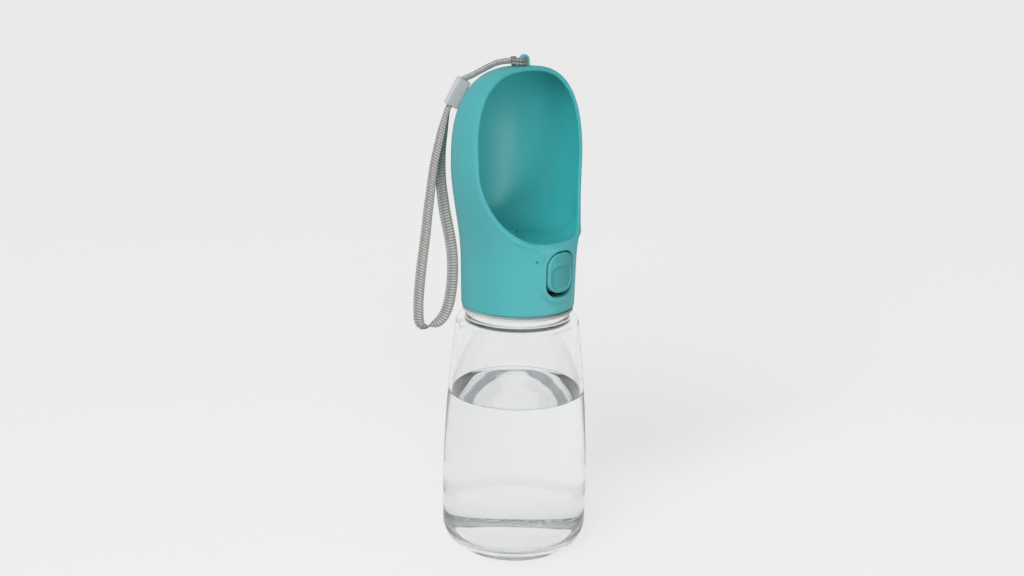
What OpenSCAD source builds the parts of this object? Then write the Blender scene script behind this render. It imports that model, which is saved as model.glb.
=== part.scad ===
// Dog travel water bottle with a scooped drinking head, sliding lock key and wrist strap.
// Origin: centre of the base, z up. The bowl and the key face -Y.

/* [Bottle] */
// Greatest outside diameter of the bottle
bottle_d = 75.2; // [70:0.2:82]
// Height of the greatest diameter above the base
belly_z = 25; // [18:1:40]
// Radius of the long arc that draws the side in towards the shoulder
side_arc_r = 760; // [600:10:1200]
// Height at which the side turns in to the shoulder
shoulder_z = 118.5; // [108:0.5:130]
// Radius of the shoulder's turn
shoulder_r = 4; // [3:0.5:6]
// Wall of the bottle
bottle_wall = 1.9; // [1.4:0.1:2.6]
// Radius between base and side
base_corner_r = 14; // [10:0.5:18]
// Height of the inside floor above the base
bottle_floor_z = 9; // [6:0.5:12]
// Radius of the hollow under the base
punt_r = 20; // [14:0.5:22]
// Height of the hollow under the base
punt_h = 3.5; // [2:0.25:5]

/* [Neck] */
// Depth of the groove between shoulder and bead, behind the collar's face
neck_groove = 2.5; // [2:0.1:3]
// Height of that groove
neck_root_h = 1.9; // [1.5:0.1:3]
// Depth of the transfer bead behind the collar's face
bead_inset = 1.1; // [0.8:0.1:1.6]
// Height of the transfer bead
bead_h = 4; // [3:0.1:5]
// Depth of the thread between neck and sleeve
thread_depth = 0.9; // [0.7:0.05:1]
// Wall of the threaded sleeve in the collar
sleeve_t = 1.45; // [1.2:0.05:1.6]
// Height of the threaded neck above the bead
neck_h = 7.1; // [6:0.1:10]
// Wall of the neck
neck_wall = 2; // [1.6:0.1:2.6]

/* [Head] */
// Radius of the collar's lower edge
collar_r = 28.7; // [28.6:0.1:30]
// Outward draft of the collar up to where the head begins to flare
collar_draft = 0.5; // [0:0.1:1]
// Height of the head above the collar's lower edge
head_h = 120.4; // [110:0.2:130]
// Height above the collar's edge where the flare starts
flare_from = 22; // [12:1:30]
// Height above the collar's edge of the widest place
widest_at = 75; // [68:1:82]
// Greatest width of the head, across the bowl
head_w = 76.6; // [70:0.2:80]
// Depth of the head at its widest place, twice the way from the axis to the back
head_d = 59; // [58.6:0.2:64]
// How much further the head swells before the axis than behind it
front_swell = 2.4; // [0:0.2:3]
// Fullness of the dome, 2 being an ellipse
dome_power = 2.6; // [2:0.1:3.2]
// Fullness of the head's cross section, 2 being an ellipse
section_power = 2.02; // [2:0.01:2.3]
// Wall of the head
head_wall = 2.2; // [1.8:0.1:2.8]

/* [Bowl] */
// Thickness of the bowl's floor over the valve room
floor_t = 3; // [2.4:0.1:4]
// Radius between the bowl's floor and its walls
bowl_corner_r = 13; // [8:0.5:16]
// How far before the axis the opening's edge lies at the top
rim_top_y = 3; // [1:0.5:6]
// How far before the axis the edge lies at the widest height
rim_mid_y = 8.4; // [5:0.2:12]
// Depth of the sweep from there down to the drinking lip
lip_sweep_h = 40; // [36:0.5:41]
// Radius between the bowl's floor and the drinking lip
lip_corner_r = 4; // [3:0.5:6]
// Reach of that sweep towards the front
lip_sweep_d = 26.8; // [22:0.2:30]
// Radius of the outlet in the bowl's floor
outlet_r = 2.2; // [1.6:0.1:2.6]
// Distance of the outlet before the back of the valve room
outlet_back = 19.2; // [18.2:0.2:21]

/* [Lug] */
// Outside radius of the strap lug
lug_r = 3.3; // [3:0.1:4.2]
// Radius of its eye
eye_r = 1.7; // [1.6:0.05:1.95]
// Thickness of the lug, front to back
lug_t = 2.2; // [1.8:0.1:3]
// Height of the eye's centre over the head's top
eye_h = 2.4; // [2.2:0.1:3]
// How far before the axis the lug stands
lug_y = 1.2; // [0.6:0.1:1.6]

/* [Key] */
// Width of the key window
window_w = 18.4; // [17:0.1:21.4]
// Height of the key window
window_h = 22.7; // [21:0.1:24]
// Corner radius of the key window
window_corner_r = 7.4; // [5:0.1:8.4]
// Width of the pad left round the window
pad_rim = 2.3; // [1.6:0.1:3]
// How far the pad's flat face stands behind the collar's front
pad_sunk = 0.8; // [0.6:0.1:1]
// Gap between key and window at the sides and on top
key_gap = 0.8; // [0.5:0.05:1]
// How far the key slides down to unlock
lock_travel = 1.6; // [1:0.1:1.8]
// How far the key is pressed in
press_travel = 3; // [2:0.1:3.2]
// How far the key stands proud of the collar
key_proud = 1.2; // [0.6:0.1:2]
// Wall of the key
key_wall = 1.5; // [1.2:0.1:2]
// Radius of the key's bulged face
key_crown_r = 45; // [32:1:80]
// Depth of the thumb recess in the key's face
thumb_dip = 0.6; // [0.3:0.1:0.8]

/* [Valve] */
// Outside radius of the valve barrel
barrel_r = 7.6; // [7.2:0.1:7.8]
// Bore radius of the valve barrel
bore_r = 5.6; // [5.2:0.1:5.8]
// Radius of the valve stem
stem_r = 2.2; // [1.9:0.1:2.4]
// Radius of the water way from the bottle
inlet_r = 2.6; // [2:0.1:2.8]
// Wire radius of the return spring
wire_r = 0.3; // [0.2:0.05:0.35]
// Turns of the return spring
spring_turns = 4; // [3:1:5]

/* [Strap] */
// Width of the woven wrist loop
strap_w = 4.8; // [4:0.1:6]
// Thickness of the woven wrist loop
strap_t = 1.3; // [1:0.1:1.6]
// Diameter of the cord between clip and lug
cord_d = 2.2; // [1.6:0.1:2.6]
// Length of the strap clip
clip_l = 14.4; // [12:0.1:18]
// Width of the strap clip
clip_w = 6.6; // [6.4:0.1:8]
// Thickness of the strap clip
clip_t = 4.6; // [3.8:0.1:6]

/* [Clearances] */
// Gap between pieces that move past each other
move_gap = 0.3; // [0.2:0.05:0.4]
// Radial running clearance of the shafts
run_gap = 0.08; // [0.04:0.01:0.1]
// Radial clearance of pieces seated in bores
seat_gap = 0.05; // [0.02:0.01:0.08]

/* [Hidden] */
$fn = 72;
teal = [0.25, 0.65, 0.66];
pale_grey = [0.80, 0.82, 0.82];
strap_grey = [0.62, 0.62, 0.60];
eps = 0.01;

// Radii of collar and neck, from the outside in
collar_wall = 1.8;
deck_bore_r = collar_r - collar_wall;
room_ledge = 0.7;
room_r = deck_bore_r - room_ledge;
bead_r = collar_r - bead_inset;
neck_root_r = collar_r - neck_groove;
neck_r = deck_bore_r - seat_gap - sleeve_t - thread_depth;
outlet_y = room_r - outlet_back;

// Bottle and neck heights
neck_root_z = shoulder_z + shoulder_r;
bead_z = neck_root_z + neck_root_h;
neck_z = bead_z + bead_h;
mouth_z = neck_z + neck_h;
neck_bore_r = neck_r - neck_wall;
bead_round = 0.7;

// Thread sleeve, gasket and deck: the sleeve's flange rides just above the bead
edge_break = 0.5;
flange_gap = 0.4;
flange_t = 1.2;
flange_r = collar_r - edge_break;
gasket_gap = 0.1;
gasket_t = 1.4;
gasket_in_r = neck_bore_r - 0.2;
gasket_out_r = neck_r + 0.4;
collar_z = neck_z + flange_gap + flange_t;
deck_z = mouth_z + gasket_gap + gasket_t;
deck_t = 1.8;
deck_top_z = deck_z + deck_t;

// Head heights
head_top_z = collar_z + head_h;
flare_z = collar_z + flare_from;
wide_z = collar_z + widest_at;
front_r = collar_r + collar_draft;
window_sill = 1.8;
window_lintel = 1.3;
window_z = deck_top_z + window_sill;
room_top_z = window_z + window_h + window_lintel;
bowl_floor_z = room_top_z + floor_t;
pad_curve = 0.1;

// Key: it rests at the top of its window
key_w = window_w - 2 * key_gap;
key_foot_gap = 0.4;
key_h = window_h - key_gap - lock_travel - key_foot_gap;
key_corner_r = window_corner_r - key_gap;
key_z = window_z + window_h - key_gap - key_h / 2;
key_front_y = -(front_r + key_proud);
skirt_depth = 6.3;
skirt_y = key_front_y + skirt_depth;

// Valve axis: half way between the key's locked and unlocked height
valve_z = key_z - lock_travel / 2;

// Stations along Y, from the key at the front to the barrel's cap at the back
carrier_gap = 1.6;
carrier_y = skirt_y + press_travel + carrier_gap;
carrier_t = 1.8;
plunger_r = 4;
plunger_socket = 3.1;
plunger_reach = 1.7;
collar_disc_r = 5.6;
collar_disc_y = carrier_y + carrier_t + move_gap;
collar_disc_t = 1.4;
runner_t = 1;
guide_y = carrier_y + carrier_t + runner_t + move_gap;
guide_t = 1.8;
guide_wall = 1.4;
carrier_lap = 0.7;
carrier_half_w = window_w / 2 + carrier_lap;
carrier_half_h = key_h / 2 - move_gap;
guide_in = carrier_half_w + move_gap;
guide_out = guide_in + guide_wall;
guide_foot_z = deck_top_z + move_gap;
guide_head_z = room_top_z - 0.2;
plunger_end_y = guide_y + guide_t + plunger_reach;
stem_head_y = plunger_end_y + move_gap;
stem_head_t = 1.8;
stem_head_r = 5;
barrel_y = stem_head_y + stem_head_t + press_travel + move_gap;
bush_l = 5.2;
ring_seat_l = 2.1;
seat_t = 2;
water_way = 1.4;
seat_hole_r = stem_r + water_way;
seat_y = outlet_y + outlet_r + 0.8;
plug_lift = 0.1;
plug_y = seat_y + seat_t + plug_lift;
plug_t = 2.5;
plug_gap = 0.8;
plug_r = bore_r - plug_gap;
tail_step = 0.6;
tail_r = stem_r - tail_step;
tail_out = 1.4;
washer_y = plug_y + plug_t;
washer_t = 1;
spring_gap = 0.05;
spring_y = washer_y + washer_t + spring_gap;
spring_r = bore_r - 2 * plug_gap;
cap_spigot = 1.3;
cap_disc_t = 1.2;
cap_gap = 0.47;
barrel_end_y = sqrt(pow(room_r, 2) - pow(barrel_r, 2)) - cap_disc_t - cap_gap;
spring_l = barrel_end_y - cap_spigot - spring_gap - spring_y;
inlet_y = barrel_end_y - cap_spigot - inlet_r - cap_disc_t;
duct_wall = 1.8;
outlet_gasket_t = 1.6;
outlet_boss_h = 1.8;
stub_top_z = room_top_z - outlet_boss_h - outlet_gasket_t;

// Guide screws
screw_y = guide_y + guide_t / 2 + 0.4;
screw_boss_r = 2.6;
screw_x = guide_out + screw_boss_r + 0.7;
screw_r = 1;
screw_head_r = 1.9;
ear_t = 2;
ear_lift = 4.5;
ear_z = valve_z + ear_lift;
screw_bite = 6;

// Direction in which the strap hangs off the head, seen from above
strap_side = [-0.695, 0.719];

// Points on an arc about c with radius r, from angle a to b
function arc(c, r, a, b, n) =
    [for (i = [0:n]) c + r * [cos(a + (b - a) * i / n), sin(a + (b - a) * i / n)]];

// The bottle's outside radius at height z
function side_r(z) = bottle_d / 2 - side_arc_r + sqrt(pow(side_arc_r, 2) - pow(z - belly_z, 2));

// 0 below 0, 1 above 1, smooth between
function ease(t) = let (s = min(1, max(0, t))) s * s * (3 - 2 * s);

// Half width and half depth of the head before its dome closes
function half_w(z) = let (f = ease((z - flare_z) / (wide_z - flare_z)))
    (1 - f) * draft_r(z) + f * head_w / 2;
function half_d(z) = let (f = ease((z - flare_z) / (wide_z - flare_z)))
    (1 - f) * draft_r(z) + f * head_d / 2;
function half_f(z) = half_d(z) + front_swell * ease((z - flare_z) / (wide_z - flare_z));
function draft_r(z) = collar_r + collar_draft * min(1, (z - collar_z) / flare_from);

// A signed power, for superellipses
function spow(v, p) = sign(v) * pow(abs(v), p);

// One closed section at height z: half width w, half depth back b and front f
sides = 56;
function section(w, b, f, z) = [
    for (i = [0:sides - 1])
        let (a = 360 * i / sides, c = spow(cos(a), 2 / section_power),
            s = spow(sin(a), 2 / section_power))
        [w * c, s * (s > 0 ? b : f), z]
];

// A closed solid through rings of points, with flat ends
module loft(rings) {
    n = len(rings[0]);
    rows = len(rings);
    polyhedron(
        points = [for (ring = rings) each ring],
        faces = concat(
            [[for (i = [0:n - 1]) i]],
            [for (k = [0:rows - 2]) for (i = [0:n - 1])
                [k * n + i, (k + 1) * n + i, (k + 1) * n + (i + 1) % n]],
            [for (k = [0:rows - 2]) for (i = [0:n - 1])
                [k * n + i, (k + 1) * n + (i + 1) % n, k * n + (i + 1) % n]],
            [[for (i = [n - 1:-1:0]) (rows - 1) * n + i]]
        ),
        convexity = 6
    );
}

// A plane outline of width w and height h with corners of radius r
module round_rect(w, h, r) {
    square([w - 2 * r, h], center = true);
    square([w, h - 2 * r], center = true);
    for (x = [-1, 1])
        for (y = [-1, 1])
            translate([x * (w / 2 - r), y * (h / 2 - r)])
                circle(r);
}

// Carries a flat outline drawn in X and Z from y0 to y1
module along_y(y0, y1, z = valve_z) {
    translate([0, y1, z])
        rotate([90, 0, 0])
            linear_extrude(y1 - y0)
                children();
}

// A round bar on the valve's axis
module bar_y(r, y0, y1) {
    translate([0, y0, valve_z])
        rotate([-90, 0, 0])
            cylinder(r = r, h = y1 - y0);
}

// A block between two corners
module block(low, high) {
    translate(low)
        cube(high - low);
}

// A flat band follows a route beside the axis. Each route point is
// [distance from the axis, height, step to the front, turn of the band's flat side].
function route_at(p) = [
    strap_side.x * p[0] - strap_side.y * p[2],
    strap_side.y * p[0] + strap_side.x * p[2],
    p[1]
];
function unit(v) = v / norm(v);
function heading(pts, i) = unit(pts[min(i + 1, len(pts) - 1)] - pts[max(i - 1, 0)]);

// Eight points round point i of the route, w wide and t thick, turned about its heading
function band_ring(pts, i, w, t, turn) =
    let (
        flat = [strap_side.y, -strap_side.x, 0],
        h = heading(pts, i),
        side = unit(cross(flat, h)),
        face = cross(h, side),
        u = side * cos(turn) + face * sin(turn),
        v = face * cos(turn) - side * sin(turn)
    )
    [for (k = [0:7]) let (a = 22.5 + 45 * k)
        pts[i] + u * w / 2 * cos(a) / cos(22.5) + v * t / 2 * sin(a) / cos(22.5)];
module band(route, w, t) {
    pts = [for (p = route) route_at(p)];
    loft([for (i = [0:len(pts) - 1]) band_ring(pts, i, w, t, route[i][3])]);
}

// Route of the woven wrist loop, from the clip down and back up to it
loop_route = [
    [35.25, 230.3, 0.8, 50], [36.25, 228.3, 0.8, 50], [38.3, 221, 0.9, 48], [40.4, 212, 1, 44],
    [42.3, 203, 1, 36], [43.6, 194, 0.9, 26], [44.7, 185, 0.6, 14], [45.8, 176, 0.3, 6],
    [46.7, 167, 0, 0], [47.8, 158, 0, 0], [48.9, 149, 0, 0], [49.8, 140, 0, 0],
    [50.3, 132, 0, 0], [50.2, 126, 0, 0], [48.9, 121.6, 0, 0], [46.2, 118.9, 0, 0],
    [42.8, 118.6, 0, 0], [39.6, 120.6, 0, 0], [37.2, 124.6, 0, 0], [35.3, 130, 0, 0],
    [34, 136, 0, 0], [33.2, 143, 0, 0], [33.1, 150, 0, 0], [33.6, 157, 0, 0],
    [34.6, 164, 0, 0], [36, 171, -0.2, 10], [37.4, 178, -0.4, 20], [38.4, 185, -0.6, 32],
    [39.2, 192, -0.8, 42], [39.4, 199, -1, 50], [39.2, 206, -1, 54], [38.6, 213, -1, 56],
    [37.6, 220.5, -0.9, 54], [36.25, 228.3, -0.8, 50], [35.25, 230.3, -0.8, 50]
];

// Route of the cord, from the eye of the lug over the dome to the clip
cord_route = [
    [-1.4, 252.8, 1.3, 0], [-0.3, 252.8, 0.3, 0], [0.7, 252.8, -0.5, 0],
    [2.1, 252.8, -1.1, 0], [4.3, 252.8, -1.1, 0], [7, 252.6, -0.8, 0], [10, 252.2, -0.5, 0],
    [13, 251.4, -0.2, 0], [16, 250.3, 0, 0], [19, 248.9, 0, 0], [22, 247.3, 0, 0],
    [25, 245.9, 0, 0], [27.2, 245, 0, 0], [28.1, 244.4, 0, 0], [28.6, 243.4, 0, 0]
];

// The clip's middle and its lean
clip_at = [31.9, 236.9, 0, 0];
clip_lean = 27;

module bottle() {
    side_rows = 18;
    side_steps = side_rows - 1;
    base_cx = side_r(base_corner_r) - base_corner_r;
    in_corner_r = base_corner_r - bottle_wall;
    in_corner_z = bottle_floor_z + in_corner_r;
    in_cx = side_r(in_corner_z) - bottle_wall - in_corner_r;
    shoulder_cx = side_r(shoulder_z) - shoulder_r;
    punt_arc = (pow(punt_r, 2) + pow(punt_h, 2)) / (2 * punt_h);
    punt_a = asin(punt_r / punt_arc);
    outer = concat(
        arc([0, punt_h - punt_arc], punt_arc, 90, 90 - punt_a, 8),
        arc([base_cx, base_corner_r], base_corner_r, -90, 0, 12),
        [for (i = [1:side_steps]) let (z = base_corner_r + (shoulder_z - base_corner_r) * i / side_rows)
            [side_r(z), z]],
        arc([shoulder_cx, shoulder_z], shoulder_r, 0, 90, 6),
        [[neck_root_r, neck_root_z], [neck_root_r, bead_z]],
        arc([bead_r - bead_round, bead_z + bead_round], bead_round, -90, 0, 3),
        arc([bead_r - bead_round, neck_z - bead_round], bead_round, 0, 90, 3),
        [[neck_r, neck_z], [neck_r, mouth_z - edge_break], [neck_r - edge_break, mouth_z]]
    );
    inner = concat(
        [[neck_bore_r + edge_break, mouth_z], [neck_bore_r, mouth_z - edge_break]],
        [[neck_bore_r, neck_root_z], [neck_bore_r + 2, neck_root_z - bottle_wall]],
        arc([shoulder_cx, shoulder_z], shoulder_r - bottle_wall, 90, 0, 5),
        [for (i = [1:side_steps]) let (z = shoulder_z - (shoulder_z - in_corner_z) * i / side_rows)
            [side_r(z) - bottle_wall, z]],
        arc([in_cx, in_corner_z], in_corner_r, 0, -90, 10),
        [[0, bottle_floor_z + 1]]
    );
    color([0.9, 0.95, 0.97, 0.4])
        rotate_extrude($fn = 96)
            polygon(concat(outer, inner));
}

module mouth_gasket() {
    color("white")
        translate([0, 0, mouth_z + gasket_gap])
            difference() {
                cylinder(r = gasket_out_r, h = gasket_t);
                translate([0, 0, -1])
                    cylinder(r = gasket_in_r, h = gasket_t + 2);
            }
}

// Outside of the head, closed all round
module head_outside() {
    dome_h = head_top_z - wide_z;
    loft(concat(
        [section(flange_r, flange_r, flange_r, collar_z)],
        [section(collar_r, collar_r, collar_r, collar_z + edge_break)],
        [for (i = [1:2]) let (z = collar_z + flare_from * i / 3)
            section(half_w(z), half_d(z), half_f(z), z)],
        [for (i = [0:11]) let (z = flare_z + (wide_z - flare_z) * i / 11)
            section(half_w(z), half_d(z), half_f(z), z)],
        [for (i = [1:14]) let (
                a = 86 * i / 14,
                s = pow(cos(a), 2 / dome_power),
                z = wide_z + dome_h * pow(sin(a), 2 / dome_power))
            section(head_w / 2 * s, head_d / 2 * s, (head_d / 2 + front_swell) * s, z)]
    ));
}

// Inset of the bowl's wall at height z, with a round of radius r at the floor
function bowl_inset(z, r) = let (up = min(r, z - bowl_floor_z))
    head_wall + r - sqrt(pow(r, 2) - pow(r - up, 2));

// The scoop: a room inside the head with a rounded floor
module bowl_room() {
    dome_h = head_top_z - head_wall - wide_z;
    low = bowl_floor_z + bowl_corner_r;
    heights = concat(
        [for (i = [0:8]) bowl_floor_z + bowl_corner_r * (1 - cos(90 * i / 8))],
        [for (i = [1:6]) low + (wide_z - low) * i / 6]
    );
    loft(concat(
        [for (z = heights) let (side = bowl_inset(z, bowl_corner_r))
            section(half_w(z) - side, half_d(z) - side,
                half_f(z) - bowl_inset(z, lip_corner_r), z)],
        [for (i = [1:12]) let (
                a = 86 * i / 12,
                s = pow(cos(a), 2 / dome_power),
                w = (head_w / 2 - head_wall) * s,
                d = (head_d / 2 - head_wall) * s)
            section(w, d, d + front_swell * s, wide_z + dome_h * pow(sin(a), 2 / dome_power))]
    ));
}

// What is cut away for the pad round the key window: a flat face where the collar bulges
// forward, and the collar's own curve where the head flares above the window
module pad_cut() {
    low = window_z - pad_rim;
    tall = head_top_z - low;
    difference() {
        along_y(-2 * collar_r, -collar_r * 0.6, low + tall / 2)
            round_rect(window_w + 2 * pad_rim, tall, window_corner_r + pad_rim);
        intersection() {
            cylinder(r = collar_r - pad_curve, h = 2 * head_top_z);
            block([-2 * collar_r, pad_sunk - collar_r, 0], [2 * collar_r, 0, 2 * head_top_z]);
        }
    }
}

// What is cut away in front of the rim, seen from the side
module front_cut() {
    far = head_d;
    sweep_z = wide_z + 2;
    sweep = [for (i = [0:14]) let (a = 76 * i / 14)
        [-(rim_mid_y + lip_sweep_d * (1 - cos(a))), sweep_z - lip_sweep_h * sin(a)]];
    rotate([90, 0, 90])
        linear_extrude(2 * head_w, center = true)
            polygon(concat(
                [[-rim_top_y, head_top_z], [-rim_top_y, head_top_z + far]],
                [[-far, head_top_z + far], [-far, sweep[14].y]],
                [for (i = [14:-1:0]) sweep[i]]
            ));
}

module lug() {
    translate([0, -lug_y, head_top_z + eye_h])
        difference() {
            union() {
                rotate([90, 0, 0])
                    cylinder(r = lug_r, h = lug_t, center = true, $fn = 48);
                block([-lug_r, -lug_t / 2, -eye_h - 1], [lug_r, lug_t / 2, 0]);
            }
            rotate([90, 0, 0])
                cylinder(r = eye_r, h = lug_t + 2, center = true, $fn = 48);
        }
}

module head_shell() {
    color(teal)
        difference() {
            union() {
                difference() {
                    head_outside();
                    bowl_room();
                    front_cut();
                    pad_cut();
                    translate([0, 0, collar_z - 1])
                        cylinder(r = deck_bore_r, h = deck_top_z - collar_z + 1);
                    translate([0, 0, deck_top_z - eps])
                        cylinder(r = room_r, h = room_top_z - deck_top_z + eps);
                    along_y(-2 * collar_r, -collar_r * 0.6, window_z + window_h / 2)
                        round_rect(window_w, window_h, window_corner_r);
                }
                lug();
                translate([0, outlet_y, room_top_z - outlet_boss_h])
                    cylinder(r = outlet_r + duct_wall, h = outlet_boss_h + eps);
                for (x = [-1, 1])
                    translate([x * screw_x, screw_y, ear_z + ear_t])
                        cylinder(r = screw_boss_r, h = room_top_z - ear_z - ear_t + eps, $fn = 32);
            }
            translate([0, outlet_y, room_top_z - outlet_boss_h - 1])
                cylinder(r = outlet_r, h = floor_t + bowl_corner_r);
            for (x = [-1, 1])
                translate([x * screw_x, screw_y, ear_z])
                    cylinder(r = screw_r, h = ear_t + screw_bite + 0.5, $fn = 24);
        }
}

module thread_sleeve() {
    in_r = neck_r + thread_depth;
    color(pale_grey)
        difference() {
            union() {
                translate([0, 0, collar_z - flange_t])
                    cylinder(r = flange_r, h = flange_t);
                translate([0, 0, collar_z - eps])
                    cylinder(r = deck_bore_r - seat_gap, h = deck_z - collar_z + eps);
            }
            translate([0, 0, collar_z - flange_t - 1])
                cylinder(r = in_r, h = deck_z);
        }
}

module valve_body() {
    rib_t = 2.4;
    color(pale_grey)
        difference() {
            union() {
                translate([0, 0, deck_z])
                    cylinder(r = deck_bore_r - seat_gap, h = deck_t);
                bar_y(barrel_r, barrel_y, barrel_end_y);
                translate([0, inlet_y, deck_top_z - eps])
                    cylinder(r = inlet_r + duct_wall, h = valve_z - barrel_r - deck_top_z + 2);
                translate([0, outlet_y, valve_z + bore_r])
                    cylinder(r = outlet_r + duct_wall, h = stub_top_z - valve_z - bore_r);
                block([-rib_t / 2, barrel_y + 1, deck_top_z - eps],
                    [rib_t / 2, inlet_y, valve_z - barrel_r + 0.5]);
            }
            bar_y(bore_r, barrel_y - 1, barrel_end_y + 1);
            translate([0, inlet_y, deck_z - 1])
                cylinder(r = inlet_r, h = valve_z - deck_z);
            translate([0, outlet_y, valve_z])
                cylinder(r = outlet_r, h = stub_top_z);
        }
}

module stem_bush() {
    color("white")
        difference() {
            bar_y(bore_r - seat_gap, barrel_y, barrel_y + bush_l);
            bar_y(stem_r + run_gap, barrel_y - 1, barrel_y + bush_l + 1);
            bar_y(stem_r + ring_seat_l + seat_gap, barrel_y + bush_l - ring_seat_l,
                barrel_y + bush_l + 1);
        }
}

module stem_o_ring() {
    section_r = ring_seat_l / 2;
    color([0.2, 0.2, 0.2])
        translate([0, barrel_y + bush_l - section_r, valve_z])
            rotate([90, 0, 0])
                rotate_extrude($fn = 48)
                    translate([stem_r + run_gap + section_r, 0])
                        circle(section_r - seat_gap, $fn = 24);
}

module valve_seat() {
    color("white")
        difference() {
            bar_y(bore_r - seat_gap, seat_y, seat_y + seat_t);
            bar_y(seat_hole_r, seat_y - 1, seat_y + seat_t + 1);
        }
}

module barrel_cap() {
    color(pale_grey)
        union() {
            bar_y(bore_r - seat_gap, barrel_end_y - cap_spigot, barrel_end_y);
            bar_y(barrel_r, barrel_end_y, barrel_end_y + cap_disc_t);
        }
}

module outlet_gasket() {
    color("white")
        translate([0, outlet_y, stub_top_z])
            difference() {
                cylinder(r = outlet_r + duct_wall - 0.2, h = outlet_gasket_t, $fn = 48);
                translate([0, 0, -1])
                    cylinder(r = outlet_r + 0.1, h = outlet_gasket_t + 2, $fn = 48);
            }
}

// Frame behind the window: two side walls with rails, a slotted back, a top and two ears
module key_guide() {
    stop_low = key_z - lock_travel - carrier_half_h - move_gap;
    stop_high = key_z + carrier_half_h + move_gap;
    lip_y = carrier_y - move_gap;
    slot_r = collar_disc_r + 0.4;
    rail_w = 1.3;
    stop_w = 3.1;
    mid_z = (guide_foot_z + guide_head_z) / 2;
    tall = guide_head_z - guide_foot_z;
    color(pale_grey)
        difference() {
            intersection() {
                union() {
                    block([-guide_out, guide_y, guide_foot_z], [guide_out, guide_y + guide_t, guide_head_z]);
                    block([-guide_out, lip_y - 1, stop_high], [guide_out, guide_y + eps, guide_head_z]);
                    for (x = [-1, 1]) {
                        translate([x * (guide_in + guide_out) / 2, (guide_y - room_r) / 2, mid_z])
                            cube([guide_wall, room_r + guide_y + eps, tall], center = true);
                        translate([x * (guide_in - rail_w / 2 + eps), lip_y - 0.5, mid_z])
                            cube([rail_w, 1, tall], center = true);
                        translate([x * (guide_in - stop_w / 2 + eps), (lip_y + guide_y) / 2,
                            (guide_foot_z + stop_low) / 2])
                            cube([stop_w, guide_y - lip_y + 1, stop_low - guide_foot_z], center = true);
                        translate([x * (guide_out + screw_x + screw_boss_r) / 2, screw_y, ear_z + ear_t / 2])
                            cube([screw_x + screw_boss_r - guide_out + eps, 2 * screw_boss_r, ear_t],
                                center = true);
                    }
                }
                translate([0, 0, guide_foot_z - 1])
                    cylinder(r = room_r - 0.2, h = guide_head_z - guide_foot_z + 2);
            }
            along_y(guide_y - 1, guide_y + guide_t + 1, valve_z) {
                translate([0, lock_travel / 2])
                    circle(slot_r);
                translate([0, -lock_travel / 2])
                    circle(slot_r);
                square([2 * slot_r, lock_travel], center = true);
            }
            for (x = [-1, 1])
                translate([x * screw_x, screw_y, ear_z - 1])
                    cylinder(r = screw_r + 0.2, h = ear_t + 2, $fn = 24);
        }
}

module guide_screws() {
    head_t = 1.3;
    color("silver")
        for (x = [-1, 1])
            translate([x * screw_x, screw_y, ear_z - head_t])
                difference() {
                    union() {
                        cylinder(r = screw_head_r, h = head_t, $fn = 24);
                        cylinder(r = screw_r - 0.02, h = head_t + ear_t + screw_bite, $fn = 24);
                    }
                    for (turn = [0, 90])
                        rotate([0, 0, turn])
                            cube([2.2, 0.5, 1.2], center = true);
                }
}

module lock_carrier() {
    color("white")
        difference() {
            union() {
                along_y(carrier_y, carrier_y + carrier_t, key_z)
                    round_rect(2 * carrier_half_w, 2 * carrier_half_h, 1.5);
                for (x = [-1, 1])
                    translate([x * (carrier_half_w - 1.3), carrier_y + carrier_t + runner_t / 2 - eps, key_z])
                        cube([2, runner_t, 2 * carrier_half_h - 3], center = true);
            }
            translate([0, 0, key_z - valve_z])
                bar_y(plunger_r + run_gap, carrier_y - 1, carrier_y + carrier_t + 1);
        }
}

module crown(r) {
    translate([0, key_front_y + key_crown_r, key_z - key_h])
        cylinder(r = r, h = 2 * key_h, $fn = 180);
}

module key_cap() {
    thumb_h = key_h * 0.56;
    thumb_w = key_w * 0.82;
    thumb_rise = 2.2;
    color(teal)
        difference() {
            intersection() {
                along_y(key_front_y - 1, skirt_y, key_z)
                    round_rect(key_w, key_h, key_corner_r);
                crown(key_crown_r);
            }
            difference() {
                along_y(key_front_y + key_wall + thumb_dip, skirt_y + 1, key_z)
                    round_rect(key_w - 2 * key_wall, key_h - 2 * key_wall, key_corner_r - key_wall);
                translate([0, 0, key_z - valve_z])
                    bar_y(plunger_r + 1.3, key_front_y, skirt_y + 2);
            }
            translate([0, 0, key_z - valve_z])
                bar_y(plunger_r, key_front_y + plunger_socket, skirt_y + 2);
            difference() {
                along_y(key_front_y - 2, skirt_y, key_z - key_h / 2 + thumb_rise + thumb_h / 2)
                    round_rect(thumb_w, thumb_h, key_corner_r - 2);
                crown(key_crown_r - thumb_dip);
            }
        }
}

module key_plunger() {
    color("white")
        translate([0, 0, key_z - valve_z])
            union() {
                bar_y(plunger_r, key_front_y + plunger_socket, plunger_end_y);
                bar_y(collar_disc_r, collar_disc_y, collar_disc_y + collar_disc_t);
            }
}

module valve_stem() {
    color("white")
        union() {
            bar_y(stem_head_r, stem_head_y, stem_head_y + stem_head_t);
            bar_y(stem_r, stem_head_y + stem_head_t - eps, plug_y);
            bar_y(tail_r, plug_y - eps, washer_y + washer_t + tail_out);
        }
}

module valve_plug() {
    color([0.75, 0.75, 0.75])
        difference() {
            bar_y(plug_r, plug_y, plug_y + plug_t);
            bar_y(tail_r, plug_y - 1, plug_y + plug_t + 1);
        }
}

module stem_washer() {
    color("silver")
        difference() {
            bar_y(plug_r, washer_y, washer_y + washer_t);
            bar_y(tail_r, washer_y - 1, washer_y + washer_t + 1);
        }
}

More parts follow.
